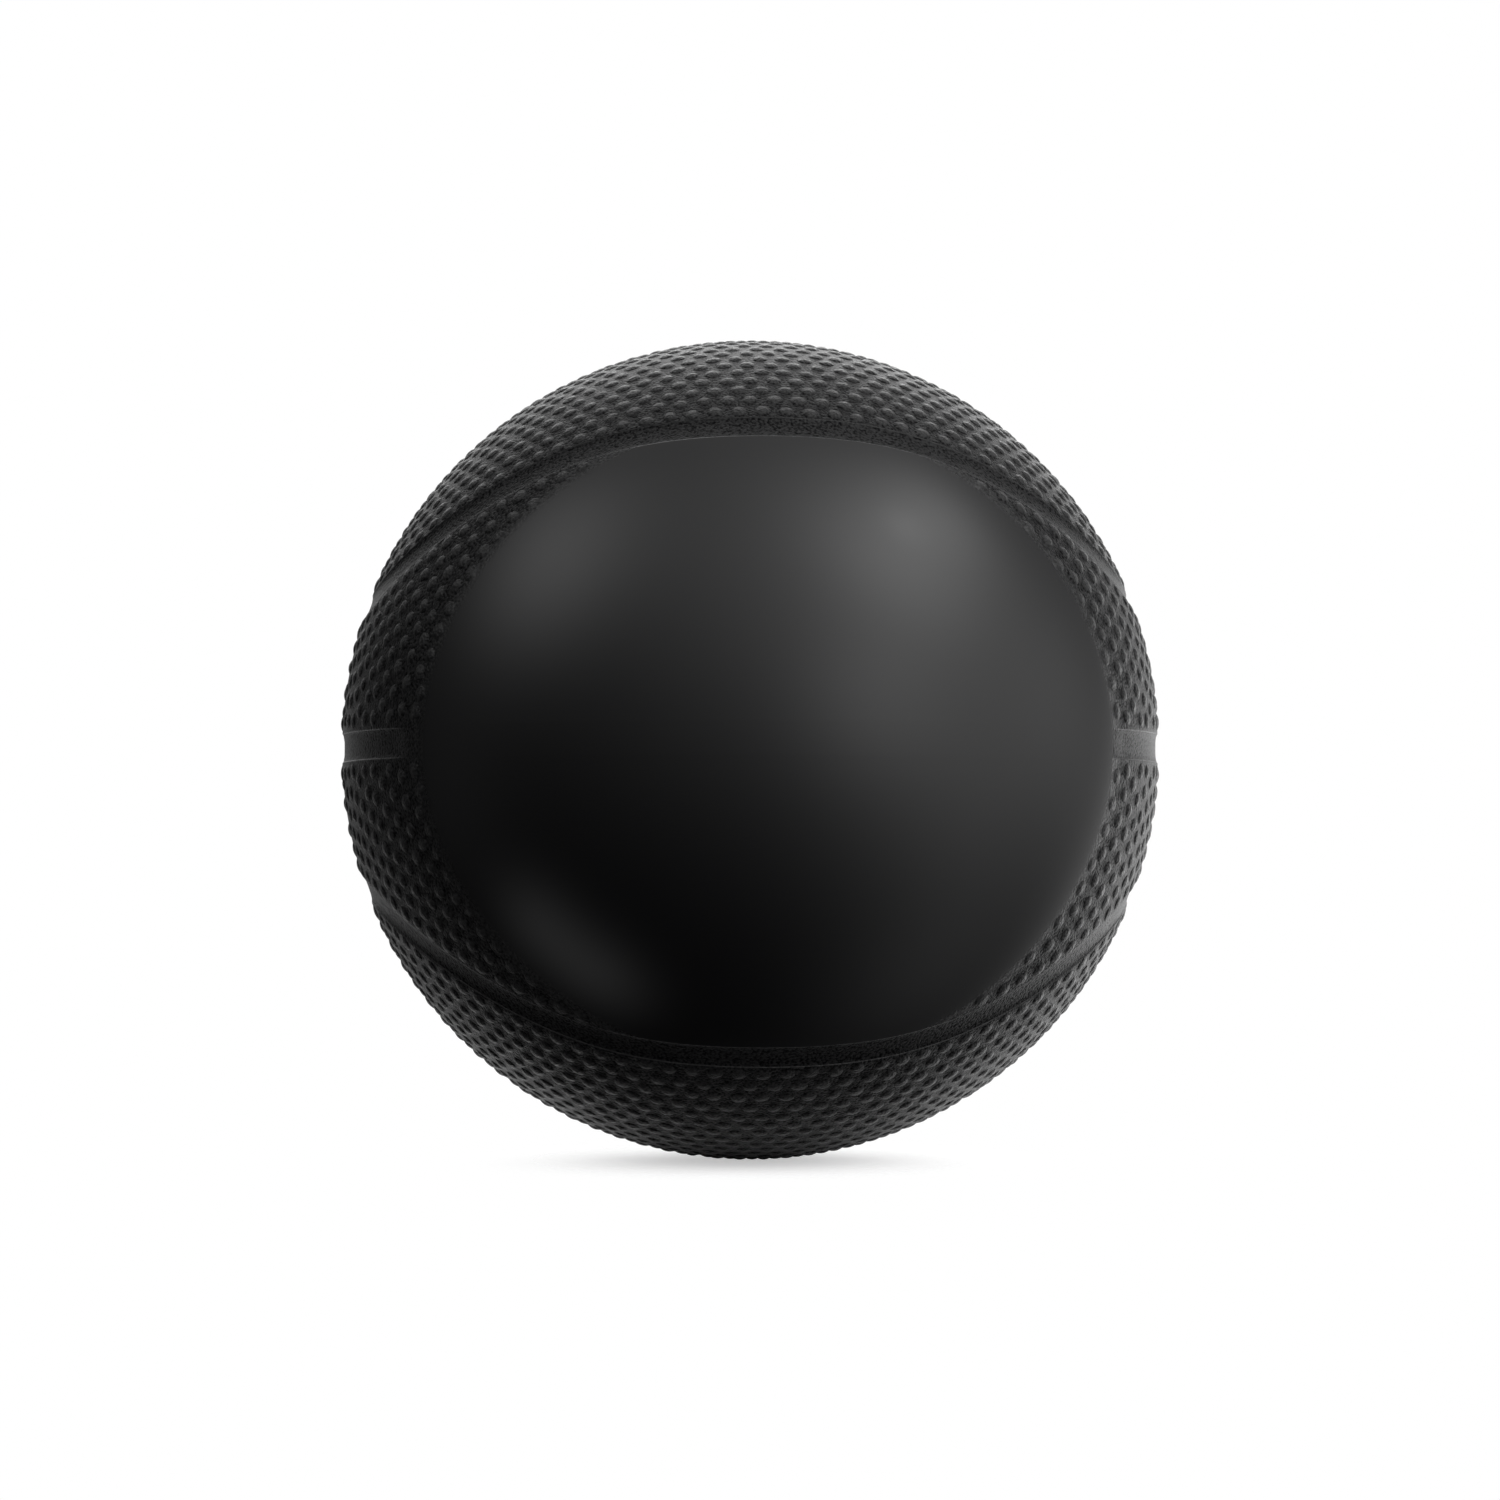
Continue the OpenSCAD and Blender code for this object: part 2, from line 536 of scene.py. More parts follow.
def mirrored(piece: Piece, node: str, mirror: Mirror) -> Piece:
    """Copy a piece to another side of the ball.

    Args:
        piece: The piece to copy.
        node: CAD node that the copy will stand for.
        mirror: Side that the copy goes to.

    Returns:
        The copy, with its own mesh and its faces outwards.
    """
    choose(piece)
    bpy.ops.object.duplicate()
    copy = bpy.context.object
    copy.name = copy.data.name = f"{node}_moulded"
    copy.scale = mirror.value
    bpy.ops.object.transform_apply(location=False, rotation=False, scale=True)
    in_edit(copy, face_outwards)
    return copy


def turned(name: str, profile: Outline, steps: int, ring: bool) -> Piece:
    """Turn a profile about the valve's axis.

    Args:
        name: Name of the piece.
        profile: Radius and place along the axis of each point.
        steps: Steps of the turn.
        ring: Whether the profile closes on itself, instead of starting and ending on the axis.

    Returns:
        The closed piece.
    """
    piece = added(name, bpy.ops.mesh.primitive_circle_add, vertices=len(profile), radius=MM)
    set_coords(piece, np.array([(radius, along, 0.0) for radius, along in profile]))
    if not ring:
        ends = {0, len(profile) - 1}
        delete(piece, "EDGE", np.array([set(edge.vertices) == ends for edge in piece.data.edges]))
    in_edit(piece,
            lambda: bpy.ops.mesh.spin(steps=steps, angle=2 * math.pi, center=(0, 0, 0), axis=(0, 1, 0)),
            merge, face_outwards)
    return piece


def graded(length: Array, steps: int, shoulder: float, near: bool = True, far: bool = True) -> Array:
    """Space points along a length, closer together over the shoulder at an end.

    Args:
        length: Lengths to divide.
        steps: Even steps between the ends.
        shoulder: Width of the shoulder.
        near: Whether the start has a shoulder.
        far: Whether the end has a shoulder.

    Returns:
        Distances from the start, in rows of one point for each length.
    """
    bands = np.array(SHOULDER_BANDS) * shoulder
    first = bands if near else bands[:1]
    last = bands if far else bands[:1]
    middle = np.arange(1, steps)[:, None] / steps
    start, end = first[-1], length - last[-1]
    rows = [np.full((1, *length.shape), value) for value in first]
    rows += [(start + (end - start) * share)[None] for share in middle]
    rows += [(length - value)[None] for value in last[::-1]]
    return np.concatenate(rows)


@dataclass
class Pebble:
    """One moulded pebble, modelled once at the origin and copied to its seats."""

    sizes: BallSizes
    foot_r: float = 1.25 * MM
    sides: int = 10
    sunk: float = 0.025 * MM
    unevenness: float = 0.12
    spin: float = 2.4
    crease: float = math.radians(75)
    seed: int = 7
    profile: tuple[tuple[float, float], ...] = ((0.88, 0.2), (0.68, 0.53), (0.44, 0.81), (0.17, 0.98))

    def raise_dome(self) -> None:
        """Raise the disc into a dome in edit mode, ring by ring."""
        radius, height = 1.0, -self.sunk
        for next_radius, share in self.profile:
            rise = share * self.sizes.pebble_h - height
            shrink = next_radius / radius
            bpy.ops.mesh.extrude_region_move(TRANSFORM_OT_translate={"value": (0, 0, rise)})
            bpy.ops.transform.resize(value=(shrink, shrink, 1))
            radius, height = next_radius, height + rise

    def model(self) -> Piece:
        """Return the pebble, with its foot just under the XY plane."""
        pebble = added("pebble", bpy.ops.mesh.primitive_circle_add, vertices=self.sides, radius=self.foot_r,
                       fill_type="NGON", location=(0, 0, -self.sunk))
        bpy.ops.object.transform_apply()
        in_edit(pebble, self.raise_dome, face_outwards)
        smooth(pebble, self.crease)
        return pebble

    def set_on(self, panel: Piece, seats: Array, heights: Array) -> None:
        """Copy the pebble to its seats on a panel and join the copies to it.

        Args:
            panel: Panel that carries the pebbles.
            seats: Unit vectors.
            heights: Share of the full height for each pebble.
        """
        pebble = self.model()
        copies = []
        uneven = 1 + self.unevenness * np.random.default_rng(self.seed).uniform(-1, 1, (len(seats), 2))
        for index, (seat, height) in enumerate(zip(seats, heights)):
            copy = pebble.copy()
            copy.data = pebble.data.copy()
            turn = Vector(seat).to_track_quat("Z", "Y").to_matrix().to_4x4()
            spin = Matrix.Rotation(index * self.spin, 4, "Z")
            copy.matrix_world = (Matrix.Translation(Vector(seat) * self.sizes.ground_r) @ turn @ spin
                                 @ Matrix.Diagonal((*uneven[index], float(height), 1)))
            bpy.context.scene.collection.objects.link(copy)
            copies.append(copy)
        bpy.data.objects.remove(pebble)
        join([panel, *copies])


@dataclass
class PebbleField:
    """Staggered pebbles in rows along a loop channel, eased apart to fill the panel."""

    sizes: BallSizes
    line: LoopLine
    edges: Sequence[Edge]
    inside_loop: bool
    pitch: float = 3.5 * MM
    row_gap: float = 3.02 * MM
    row_count: int = 24
    samples: int = 1441
    spread: int = 60000
    slack: float = 0.3 * MM
    closest: float = 0.86
    reach: float = 1.25
    push: float = 0.12
    rounds: int = 60
    stray: float = 0.2 * MM
    seed: int = 11

    def rows(self) -> Array:
        """Lay rows beside the loop, each half a pitch off the last.

        Returns:
            Unit vectors, row by row.
        """
        side = -1 if self.inside_loop else 1
        azimuth = np.linspace(-math.pi / 2, math.pi / 2, self.samples)
        seats = []
        for row in range(self.row_count):
            away = self.sizes.channel_half + self.edges[0].margin + row * self.row_gap
            line = self.line.beside(azimuth, np.full(azimuth.size, side * away / self.sizes.crest_r))
            run = np.concatenate([[0], np.cumsum(np.linalg.norm(np.diff(line, axis=0), axis=1))])
            run = (run - np.interp(0.0, azimuth, run)) * self.sizes.crest_r
            count = int(run[-1] / self.pitch) + 1
            stops = (np.arange(-count, count + 1) + row % 2 / 2) * self.pitch
            stops = stops[(stops > run[0]) & (stops < run[-1])]
            places = unit(np.stack([np.interp(stops, run, line[:, axis]) for axis in range(3)], axis=1))
            true_gap = self.line.nearest(places)[0] * self.sizes.crest_r
            seats.append(places[true_gap > away - self.slack])
        return np.concatenate(seats)

    def seats(self) -> Array:
        """Choose the seats, first along the rows and then in the gaps that they leave.

        Returns:
            Unit vectors.
        """
        fine = np.arange(0, self.spread) + 0.5
        tilt = np.arccos(1 - 2 * fine / fine.size)
        turn = fine * math.pi * (1 + math.sqrt(5))
        spread = np.stack([np.cos(turn) * np.sin(tilt), np.sin(turn) * np.sin(tilt), np.cos(tilt)], axis=1)
        places = np.concatenate([self.rows(), spread])
        places = places[places[:, 1] < 0]
        room = np.min([edge.clearance(places)[0] - edge.margin for edge in self.edges], axis=0)
        kept: list[Array] = []
        for place in places[room > -self.slack]:
            if kept:
                nearest = np.min(np.sum((np.array(kept) - place) ** 2, axis=1))
                if math.sqrt(nearest) * self.sizes.crest_r < self.closest * self.pitch:
                    continue
            kept.append(place)
        return self.eased(np.array(kept))

    def eased(self, seats: Array) -> Array:
        """Push the seats evenly apart and off the edges.

        Args:
            seats: Unit vectors.

        Returns:
            Unit vectors.
        """
        reach = self.reach * self.pitch / self.sizes.crest_r
        for _ in range(self.rounds):
            apart = seats[:, None] - seats[None]
            gap = np.linalg.norm(apart, axis=2)
            np.fill_diagonal(gap, reach)
            push = np.clip(1 - gap / reach, 0, None) / gap
            seats = unit(seats + self.push * np.sum(push[..., None] * apart, axis=1) * reach / 2)
            for edge in self.edges:
                distance, away = edge.clearance(seats)
                short = np.clip(edge.margin - distance, 0, None) / self.sizes.crest_r
                seats = unit(seats + short[:, None] * away)
        strays = np.random.default_rng(self.seed).uniform(-1, 1, seats.shape)
        return unit(seats + strays * self.stray / self.sizes.crest_r)


@dataclass
class CoverPanel:
    """Moulded panel of the cover, with rounded shoulders along its channels and pebbles on its ground."""

    sizes: BallSizes
    line: LoopLine
    plan: ChannelPlan
    name: str
    inside_loop: bool = False

    def edges(self) -> list[Edge]:
        """Return the edges of the pebbled part, with the loop's first."""
        loop = LoopEdge(self.sizes, self.line, belt=not self.inside_loop)
        return [loop, PlaneEdge(self.sizes, axis=1, sign=-1)]

    def skin(self) -> Piece:
        """Return the panel's open outer face."""
        raise NotImplementedError

    def pebbles(self) -> tuple[Array, Array]:
        """Return the seats of the pebbles and their shares of the full height."""
        seats = PebbleField(self.sizes, self.line, self.edges(), self.inside_loop).seats()
        return seats, np.ones(len(seats))

    def build(self, pebble: Pebble) -> Piece:
        """Model the panel.

        Args:
            pebble: The pebble to cover it with.

        Returns:
            The panel.
        """
        panel = self.skin()
        thicken(panel, self.sizes.inner_r)
        seats, heights = self.pebbles()
        pebble.set_on(panel, seats, heights)
        LOG.info("%s: %d pebbles", self.name, len(seats))
        return panel


@dataclass
class BeltPanel(CoverPanel):
    """Panel between the two loops, round an oval part that carries no pebbles."""

    loop_reach: float = 1.8
    loop_samples: int = 2001
    fit_rounds: int = 3

    def oval(self) -> OvalEdge:
        """Return the edge of the part that carries no pebbles."""
        raise NotImplementedError

    def edges(self) -> list[Edge]:
        """Return the edges of the pebbled part, with the loop's first."""
        return [*super().edges(), PlaneEdge(self.sizes, axis=2, sign=1), self.oval()]

    def side_azimuth(self, latitude: Array | float) -> Array:
        """Return the azimuth of the panel's side edge at a latitude."""
        return np.arccos(self.sizes.channel_half / (self.sizes.ground_r * np.cos(latitude)))

    def spaced(self, length: float, steps: int) -> Array:
        """Return places along one length, closer together over the shoulder at its end."""
        return graded(np.array([length]), steps, self.sizes.lap, near=False)[:, 0]

    def up_to_loop(self, columns: Array, bottom: Array | float, steps: int, side: float) -> Array:
        """Fit rows of points between a lower edge and the loop.

        Args:
            columns: Azimuths on the lower edge.
            bottom: Latitudes of the lower edge.
            steps: Even steps between the edges.
            side: Azimuth of the side edge, where the columns end.

        Returns:
            Latitudes by row and column.
        """
        radius = self.sizes.ground_r
        foot = np.linspace(-self.loop_reach, self.loop_reach, self.loop_samples)
        edge = self.line.beside(foot, np.full(foot.size, self.sizes.channel_half / self.sizes.crest_r))
        azimuth = columns
        for _ in range(self.fit_rounds):
            top = np.interp(azimuth, azimuth_of(edge), latitude_of(edge))
            latitude = bottom + graded((top - bottom) * radius, steps, self.sizes.lap) / radius
            azimuth = columns * self.side_azimuth(latitude[-1]) / side
        return latitude


@dataclass
class FrontPanel(BeltPanel):
    """Panel at the front, with the smooth imprint zone and the notches of the two short channels."""

    zone: ImprintZone = ImprintZone()
    rim_margin: float = -0.2 * MM
    fade: float = 1.2 * MM
    least: float = 0.7
    zone_steps: int = 44
    side_steps: int = 18
    row_steps: int = 26
    notch_rows: int = 6

    def oval(self) -> OvalEdge:
        """Return the edge of the part that carries no pebbles."""
        return OvalEdge(self.sizes, self.zone, self.rim_margin)

    def skin(self) -> Piece:
        """Return the panel's open outer face."""
        radius = self.sizes.ground_r
        wall = math.asin(self.sizes.channel_half / radius)
        notch = self.sizes.imprint_angle * radius
        side = float(self.side_azimuth(0.0))
        inner = self.spaced(notch, self.zone_steps)
        outer = notch + self.spaced(side * radius - notch, self.side_steps)
        columns = both_sides(np.concatenate([inner, outer[1:]]) / radius)
        upper = self.up_to_loop(columns, wall, self.row_steps, side)
        middle = np.linspace(-wall, wall, self.notch_rows)[1:-1, None] * np.ones(columns.size)
        latitude = np.concatenate([-upper[::-1], middle, upper])
        azimuth = columns * self.side_azimuth(latitude) / side
        sheet = laid_grid(self.name, self.plan.laid(on_ball(azimuth, latitude)))
        centres = unit(np.array([face.center for face in sheet.data.polygons]))
        beside = np.abs(latitude_of(centres)) < wall
        delete(sheet, "FACE", beside & (np.abs(azimuth_of(centres)) > self.sizes.imprint_angle))
        return sheet

    def pebbles(self) -> tuple[Array, Array]:
        """Return the seats of the pebbles and their shares of the full height."""
        upper = super().pebbles()[0]
        seats = np.concatenate([upper, upper * Mirror.BASE.value])
        share = np.clip(self.oval().clearance(seats)[0] / self.fade, 0, 1)
        return seats, self.least + (1 - self.least) * smoothstep(share)


@dataclass
class BackPanel(BeltPanel):
    """Panel above the horizontal channel at the back, cut round the valve's pad; modelled at the front."""

    arc_points: int = 12
    side_steps: int = 58
    row_steps: int = 28

    def oval(self) -> OvalEdge:
        """Return the edge of the part that carries no pebbles."""
        pad = self.sizes.pad_r / self.sizes.ground_r
        return OvalEdge(self.sizes, ImprintZone(pad, pad, turn=0.0, fullness=2.0))

    def skin(self) -> Piece:
        """Return the panel's open outer face."""
        radius, pad_r = self.sizes.ground_r, self.sizes.pad_r
        wall = math.asin(self.sizes.channel_half / radius)
        corner = math.acos(self.sizes.channel_half / pad_r)
        side = float(self.side_azimuth(wall))
        arc = np.arcsin(pad_r * np.sin(np.linspace(0, corner, self.arc_points)) / radius)
        rest = arc[-1] + self.spaced((side - arc[-1]) * radius, self.side_steps) / radius
        columns = both_sides(np.concatenate([arc, rest[1:]]))
        rim = math.sqrt(1 - (pad_r / radius) ** 2)
        bottom = np.maximum(wall, np.arccos(np.clip(rim / np.cos(columns), -1, 1)))
        latitude = self.up_to_loop(columns, bottom, self.row_steps, side)
        azimuth = columns * self.side_azimuth(latitude) / side
        return laid_grid(self.name, self.plan.laid(on_ball(azimuth, latitude), Mirror.BACK))


@dataclass
class CrownPanel(CoverPanel):
    """Front half of the panel inside the upper loop."""

    inside_loop: bool = True
    centre_lat: float = math.radians(66)
    loop_points: int = 132
    ring_points: int = 116
    rings: int = 24
    least_slant: float = 0.6

    def outline(self) -> Array:
        """Return the panel's edge, along the loop to the left and back over the crown, as unit vectors."""
        wall = self.sizes.channel_half / self.sizes.ground_r
        turn = -self.sizes.channel_half / self.sizes.crest_r
        end = float(self.line.end_azimuth([turn], -wall)[0])
        azimuth = np.linspace(end, -end, self.loop_points)
        loop = self.line.beside(azimuth, np.full(azimuth.size, turn))
        corner = math.atan2(loop[-1, 2], -loop[-1, 0])
        climb = np.linspace(corner, math.pi - corner, self.ring_points)
        reach = math.sqrt(1 - wall ** 2)
        ring = np.stack([-reach * np.cos(climb), np.full(climb.size, -wall), reach * np.sin(climb)], axis=1)
        return np.concatenate([loop, ring[1:]])

    def skin(self) -> Piece:
        """Return the panel's open outer face, in rings from its edge to its middle."""
        edge = self.outline()
        centre = on_ball(np.array(0.0), np.array(self.centre_lat))
        reach = np.arccos(np.clip(edge @ centre, -1, 1))
        inward = unit(centre - edge * np.cos(reach)[:, None])
        along = unit(np.roll(edge, -1, axis=0) - np.roll(edge, 1, axis=0))
        slant = np.clip(np.linalg.norm(np.cross(along, inward), axis=1), self.least_slant, 1)
        # The outline starts and ends at one corner, where both columns have to fall together.
        slant[-1] = slant[0]
        shoulder = self.sizes.lap / self.sizes.ground_r
        turn = graded(reach * slant, self.rings, shoulder, far=False) / slant
        places = edge * np.cos(turn)[..., None] + inward * np.sin(turn)[..., None]
        return laid_grid(self.name, self.plan.laid(places))


def linear(code: str) -> tuple[float, float, float, float]:
    """Turn an sRGB hex colour into linear values.

    Args:
        code: Six hex digits after a hash sign.

    Returns:
        Linear red, green, blue and alpha.
    """
    parts = [int(code[i:i + 2], 16) / 255 for i in (1, 3, 5)]
    red, green, blue = (c / 12.92 if c <= 0.04045 else ((c + 0.055) / 1.055) ** 2.4 for c in parts)
    return red, green, blue, 1.0


def add_node(tree: Tree, kind: str, inputs: dict | None = None, **settings) -> bpy.types.Node:
    """Add a node with its settings and links.

    Args:
        tree: Node tree to add to.
        kind: Type of the node.
        inputs: Value, or socket to link from, for each input by name or number.
        settings: Properties of the node.

    Returns:
        The node.
    """
    node = tree.nodes.new(kind)
    for name, value in settings.items():
        setattr(node, name, value)
    for name, value in (inputs or {}).items():
        if isinstance(value, Socket):
            tree.links.new(value, node.inputs[name])
        else:
            node.inputs[name].default_value = value
    return node


def maths(tree: Tree, operation: str, *values: Value) -> Socket:
    """Return the result of a sum of numbers or sockets."""
    return add_node(tree, "ShaderNodeMath", dict(enumerate(values)), operation=operation).outputs[0]


def vector_maths(tree: Tree, operation: str, *values: Socket | Sequence[float], output: str = "Value"
                 ) -> Socket:
    """Return the result of a sum of vectors."""
    node = add_node(tree, "ShaderNodeVectorMath", dict(enumerate(values)), operation=operation)
    return node.outputs[output]


def remap(tree: Tree, value: Socket, source: tuple[float, float] = (0.0, 1.0),
          target: tuple[Value, Value] = (0.0, 1.0), soft: bool = False) -> Socket:
    """Turn one range of values into another.

    Args:
        tree: Node tree to add to.
        value: The value.
        source: Ends of its range, which it is held to.
        target: What the ends become.
        soft: Whether the change eases in and out.

    Returns:
        The new value.
    """
    inputs = dict(zip(("Value", "From Min", "From Max", "To Min", "To Max"), (value, *source, *target)))
    kind = "SMOOTHSTEP" if soft else "LINEAR"
    return add_node(tree, "ShaderNodeMapRange", inputs, interpolation_type=kind).outputs["Result"]


def two_colours(tree: Tree, share: Socket, codes: tuple[str, str],
                span: tuple[float, float] = (0.0, 1.0)) -> Socket:
    """Blend between two colours.

    Args:
        tree: Node tree to add to.
        share: What the blend follows.
        codes: Hex codes of the colours.
        span: Shares at which the blend starts and ends.

    Returns:
        The colour.
    """
    ramp = add_node(tree, "ShaderNodeValToRGB", {"Fac": share})
    for element, code, position in zip(ramp.color_ramp.elements, codes, span):
        element.position, element.color = position, linear(code)
    return ramp.outputs["Color"]


def seen_directly(tree: Tree) -> Socket:
    """Return one where the camera looks, straight or through a clear surface, and nought elsewhere."""
    path = add_node(tree, "ShaderNodeLightPath")
    return maths(tree, "MAXIMUM", path.outputs["Is Camera Ray"], path.outputs["Is Transmission Ray"])


def new_material(name: str) -> tuple[bpy.types.Material, Tree, bpy.types.Node]:
    """Return a new material, its node tree and its shader."""
    material = bpy.data.materials.new(name)
    material.use_nodes = True
    return material, material.node_tree, material.node_tree.nodes["Principled BSDF"]


@dataclass(frozen=True)
class MouldedRubber:
    """Black rubber from a mould: semi-gloss, with a fine grain from the mould's blasted face.

    The grain moves the roughness by the spread and the reflection by the fleck. It and its relief are drawn
    coarser than the real ones so that they show. On a pebbled cover the crests and shoulders are polished to
    the sheen and the ground is matt, and inside the zone the grain fades out. A span holds the levels of a
    pattern between which its effect changes.
    """

    name: str
    deep: str = "#040405"
    pale: str = "#121213"
    roughness: float = 0.48
    spread: float = 0.12
    grain: float = 0.42 * MM
    relief: float = 0.22 * MM
    blotch: float = 9 * MM
    mottling: float = 0.35
    mottle_span: tuple[float, float] = (0.15, 0.35)
    sheen: float = 0.5
    matt: float = 0.17
    fleck: float = 0.85
    grain_span: tuple[float, float] = (0.3, 0.7)
    fleck_span: tuple[float, float] = (0.36, 0.64)
    pebbled: BallSizes | None = None
    crest_rise: float = 0.7
    crest_polish: float = 0.7
    shoulder_dip: tuple[float, float] = (0.05 * MM, 0.015 * MM)
    zone: ImprintZone | None = None
    zone_rim: tuple[float, float] = (0.96, 1.015)
    zone_roughness: float = 0.2

    def build(self) -> bpy.types.Material:
        """Return the finish as a material."""
        material, tree, shader = new_material(self.name)
        place = add_node(tree, "ShaderNodeTexCoord").outputs["Object"]
        blotch, height = (add_node(tree, "ShaderNodeTexNoise", {
            "Vector": place, "Scale": 1 / size, "Detail": detail}).outputs["Fac"]
            for size, detail in ((self.blotch, 3.0), (self.grain, 2.0)))
        rough = remap(tree, height, self.grain_span,
                      (self.roughness - self.spread, self.roughness + self.spread))
        mottle = maths(tree, "MULTIPLY_ADD", blotch, self.mottling, (1 - self.mottling) * NOISE_MEAN)
        mottle = maths(tree, "MULTIPLY", mottle, height)
        fleck = remap(tree, height, self.fleck_span, (1 - self.fleck, 1 + self.fleck))
        gloss: Value = self.sheen
        if self.pebbled:
            polish = self.polished_share(tree, place)
            if self.zone:
                inside = self.zone_share(tree, place)
                polish = maths(tree, "MAXIMUM", polish, inside)
                rough = remap(tree, inside, target=(rough, self.zone_roughness))
                height = remap(tree, inside, target=(height, NOISE_MEAN))
                mottle = remap(tree, inside, target=(mottle, NOISE_MEAN ** 2))
            fleck = remap(tree, polish, target=(fleck, 1.0))
            gloss = remap(tree, polish, target=(self.matt, self.sheen))
        # The export keeps a plain gloss, so the socket carries the commonest one under its link.
        shader.inputs["Specular IOR Level"].default_value = self.matt if self.pebbled else self.sheen
        bump = add_node(tree, "ShaderNodeBump", {"Height": height, "Distance": self.relief, "Strength": 1.0})
        links = {
            "Base Color": two_colours(tree, mottle, (self.deep, self.pale), self.mottle_span),
            "Roughness": rough,
            "Specular IOR Level": maths(tree, "MULTIPLY", fleck, gloss),
            "Normal": bump.outputs["Normal"],
        }
        for name, socket in links.items():
            tree.links.new(socket, shader.inputs[name])
        return material

    def polished_share(self, tree: Tree, place: Socket) -> Socket:
        """Mark what handling polishes: the crests of the pebbles and the shoulders of the channels.

        Args:
            tree: Node tree of the material.
            place: Object coordinates.

        Returns:
            Nought on the ground and up to one on the crests and shoulders.
        """
        out = vector_maths(tree, "LENGTH", place)
        ground = self.pebbled.ground_r
        risen = ground + self.crest_rise * self.pebbled.pebble_h
        crest = remap(tree, out, (ground, risen), (0.0, self.crest_polish))
        deep, shallow = self.shoulder_dip
        shoulder = remap(tree, out, (ground - deep, ground - shallow), (1.0, 0.0))
        return maths(tree, "MAXIMUM", crest, shoulder)

    def zone_share(self, tree: Tree, place: Socket) -> Socket:
        """Mark the imprint zone, where the grain fades out.

        Args:
            tree: Node tree of the material.
            place: Object coordinates.

        Returns:
            One inside the zone's rim and nought outside it.
        """
        facing = vector_maths(tree, "NORMALIZE", place, output="Vector")
        out: Value = 0.0
        for axis in (self.zone.right, self.zone.up):
            along = maths(tree, "ABSOLUTE", vector_maths(tree, "DOT_PRODUCT", facing, axis))
            out = maths(tree, "ADD", maths(tree, "POWER", along, self.zone.fullness), out)
        out = maths(tree, "POWER", out, 1 / self.zone.fullness)
        return remap(tree, out, self.zone_rim, (1.0, 0.0), soft=True)


@dataclass(frozen=True)
class WoundThread:
    """Cement-soaked nylon thread: pale and matt, with ridged turns drawn coarse enough to show."""

    name: str = "wound_nylon_thread"
    deep: str = "#8f8a7e"
    pale: str = "#c9c4b6"
    roughness: float = 0.8
    turn: float = 10 * MM
    relief: float = 0.1 * MM

    def build(self) -> bpy.types.Material:
        """Return the finish as a material."""
        material, tree, shader = new_material(self.name)
        place = add_node(tree, "ShaderNodeTexCoord").outputs["Object"]
        turns = add_node(tree, "ShaderNodeTexWave", {
            "Vector": place, "Scale": 1 / self.turn, "Distortion": 6.0, "Detail": 2.0,
            "Detail Scale": 2.0}).outputs["Fac"]
        tree.links.new(two_colours(tree, turns, (self.deep, self.pale)), shader.inputs["Base Color"])
        bump = add_node(tree, "ShaderNodeBump", {"Height": turns, "Distance": self.relief})
        tree.links.new(bump.outputs["Normal"], shader.inputs["Normal"])
        shader.inputs["Roughness"].default_value = self.roughness
        return material


def dress(piece: Piece, material: bpy.types.Material) -> None:
    """Give a piece one material."""
    piece.data.materials.clear()
    piece.data.materials.append(material)


def place_piece(piece: Piece, material: bpy.types.Material, body: Body = Body.BALL) -> None:
    """Finish a piece and let it stand for the CAD node of its name.

    Args:
        piece: The finished mesh.
        material: Its material.
        body: Body that it moves with.
    """
    node = piece.name.removesuffix("_moulded")
    dress(piece, material)
    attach(piece, body.value)
    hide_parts(node)
    LOG.info("%s stands for %s on %s", piece.name, node, body.value)


@dataclass
class Cover:
    """The seven panels of the cover."""

    sizes: BallSizes
    line: LoopLine
    plan: ChannelPlan

    def build(self) -> list[Piece]:
        """Model the panels, each repeated shape once, and copy them to their sides.

        Returns:
            The panels, with the front one first.
        """
        pebble = Pebble(self.sizes)
        front, crown, belt = (kind(self.sizes, self.line, self.plan, name).build(pebble) for kind, name in (
            (FrontPanel, "front_panel_moulded"), (CrownPanel, "crown_front_panel_moulded"),
            (BackPanel, "belt_panel")))
        copies = starmap(mirrored, (
            (crown, "crown_back_panel", Mirror.BACK), (crown, "base_front_panel", Mirror.BASE),
            (crown, "base_back_panel", Mirror.BASE_BACK), (belt, "back_upper_panel", Mirror.BACK),
            (belt, "back_lower_panel", Mirror.BASE_BACK)))
        panels = [front, crown, *copies]
        bpy.data.objects.remove(belt)
        return panels

    def dress(self, panels: Sequence[Piece]) -> None:
        """Finish the panels.

        Args:
            panels: The panels, with the front one first.
        """
        # A mottled black whose crests catch the light, and on the front panel a glossier smooth zone.
        front_rubber = MouldedRubber(
            "moulded_cover_rubber_front", pebbled=self.sizes, zone=ImprintZone()).build()
        cover_rubber = MouldedRubber("moulded_cover_rubber", pebbled=self.sizes).build()
        for panel in panels:
            place_piece(panel, front_rubber if panel is panels[0] else cover_rubber)


